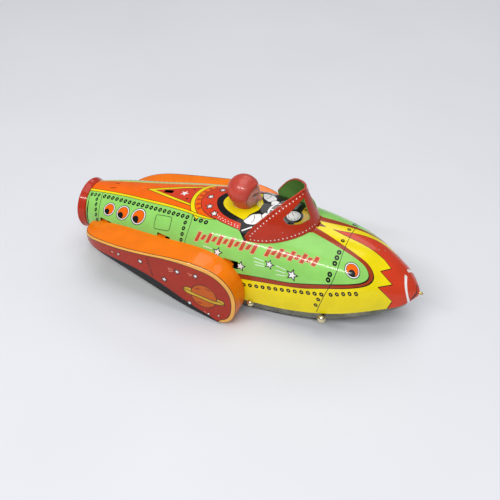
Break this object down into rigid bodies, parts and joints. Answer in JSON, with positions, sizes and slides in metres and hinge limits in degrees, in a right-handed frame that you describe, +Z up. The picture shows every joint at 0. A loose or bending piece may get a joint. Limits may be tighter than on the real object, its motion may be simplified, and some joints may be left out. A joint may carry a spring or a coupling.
{
  "type": "friction motor toy rocket car",
  "caption": "Push-along tin rocket racer with a friction flywheel motor, teardrop wheel pods, wrapped windshield and helmeted driver.",
  "frame": {"origin": "point on the floor on the centre plane, midway between the tail ring's rear face and the nose tip", "axes": "+X towards the nose, +Y towards the toy's left side, +Z up, floor at z = 0"},
  "size_m": [0.18, 0.075, 0.063],
  "materials": {
    "litho_tin": "glossy lithographed tinplate, mostly green with orange, yellow and red artwork",
    "pod_tin": "glossy lithographed tinplate, orange band and red face",
    "red_tin": "glossy red lithographed tinplate",
    "bare_tin": "bare bright tinplate, lightly dulled",
    "moulded_head": "glossy moulded plastic, red helmet and painted face",
    "plated_steel": "zinc plated stamped steel",
    "axle_steel": "drawn steel rod",
    "gear_brass": "stamped and cut brass",
    "flywheel_iron": "turned dark iron",
    "hub_tin": "pressed bare tin wheel disc",
    "rubber_tyre": "black moulded rubber"
  },
  "bodies": {
    "body": {"body_shell": "litho_tin", "base_pan": "bare_tin", "tail_ring": "red_tin", "pod_left": "pod_tin", "pod_right": "pod_tin", "windshield": "red_tin", "motor_plate_left": "plated_steel", "motor_plate_right": "plated_steel", "plate_pillars": "plated_steel", "motor_rivets": "plated_steel"},
    "driver": {"driver_head": "moulded_head", "neck_washer": "bare_tin"},
    "drive_wheels": {"drive_axle": "axle_steel", "drive_gear": "gear_brass", "drive_spacers": "bare_tin", "wheel_left": "hub_tin", "wheel_right": "hub_tin", "tyre_left": "rubber_tyre", "tyre_right": "rubber_tyre"},
    "middle_gears": {"middle_arbor": "axle_steel", "middle_pinion": "gear_brass", "middle_gear": "gear_brass"},
    "flywheel_set": {"flywheel_arbor": "axle_steel", "flywheel_pinion": "gear_brass", "flywheel": "flywheel_iron"},
    "front_wheels": {"front_axle": "axle_steel", "front_spacers": "bare_tin", "front_wheel": "hub_tin", "front_tyre": "rubber_tyre", "front_axle_caps": "bare_tin"}
  },
  "joints": [
    {"name": "drive_spin", "type": "hinge", "parent": "body", "child": "drive_wheels", "pos_m": [-0.005, 0, 0.013], "axis": [0, 1, 0], "continuous": true},
    {"name": "middle_spin", "type": "hinge", "parent": "body", "child": "middle_gears", "pos_m": [0.00565, 0, 0.02046], "axis": [0, 1, 0], "continuous": true},
    {"name": "flywheel_spin", "type": "hinge", "parent": "body", "child": "flywheel_set", "pos_m": [0.01753, 0, 0.01879], "axis": [0, 1, 0], "continuous": true},
    {"name": "front_spin", "type": "hinge", "parent": "body", "child": "front_wheels", "pos_m": [0.0503, 0, 0.0104], "axis": [0, 1, 0], "continuous": true},
    {"name": "head_turn", "type": "hinge", "parent": "body", "child": "driver", "pos_m": [-0.0002, 0, 0.054], "axis": [0, 0, 1], "continuous": true}
  ],
  "couplings": [
    {"joint": "middle_spin", "follows": "drive_spin", "ratio": -3.3333},
    {"joint": "flywheel_spin", "follows": "drive_spin", "ratio": 10}
  ]
}
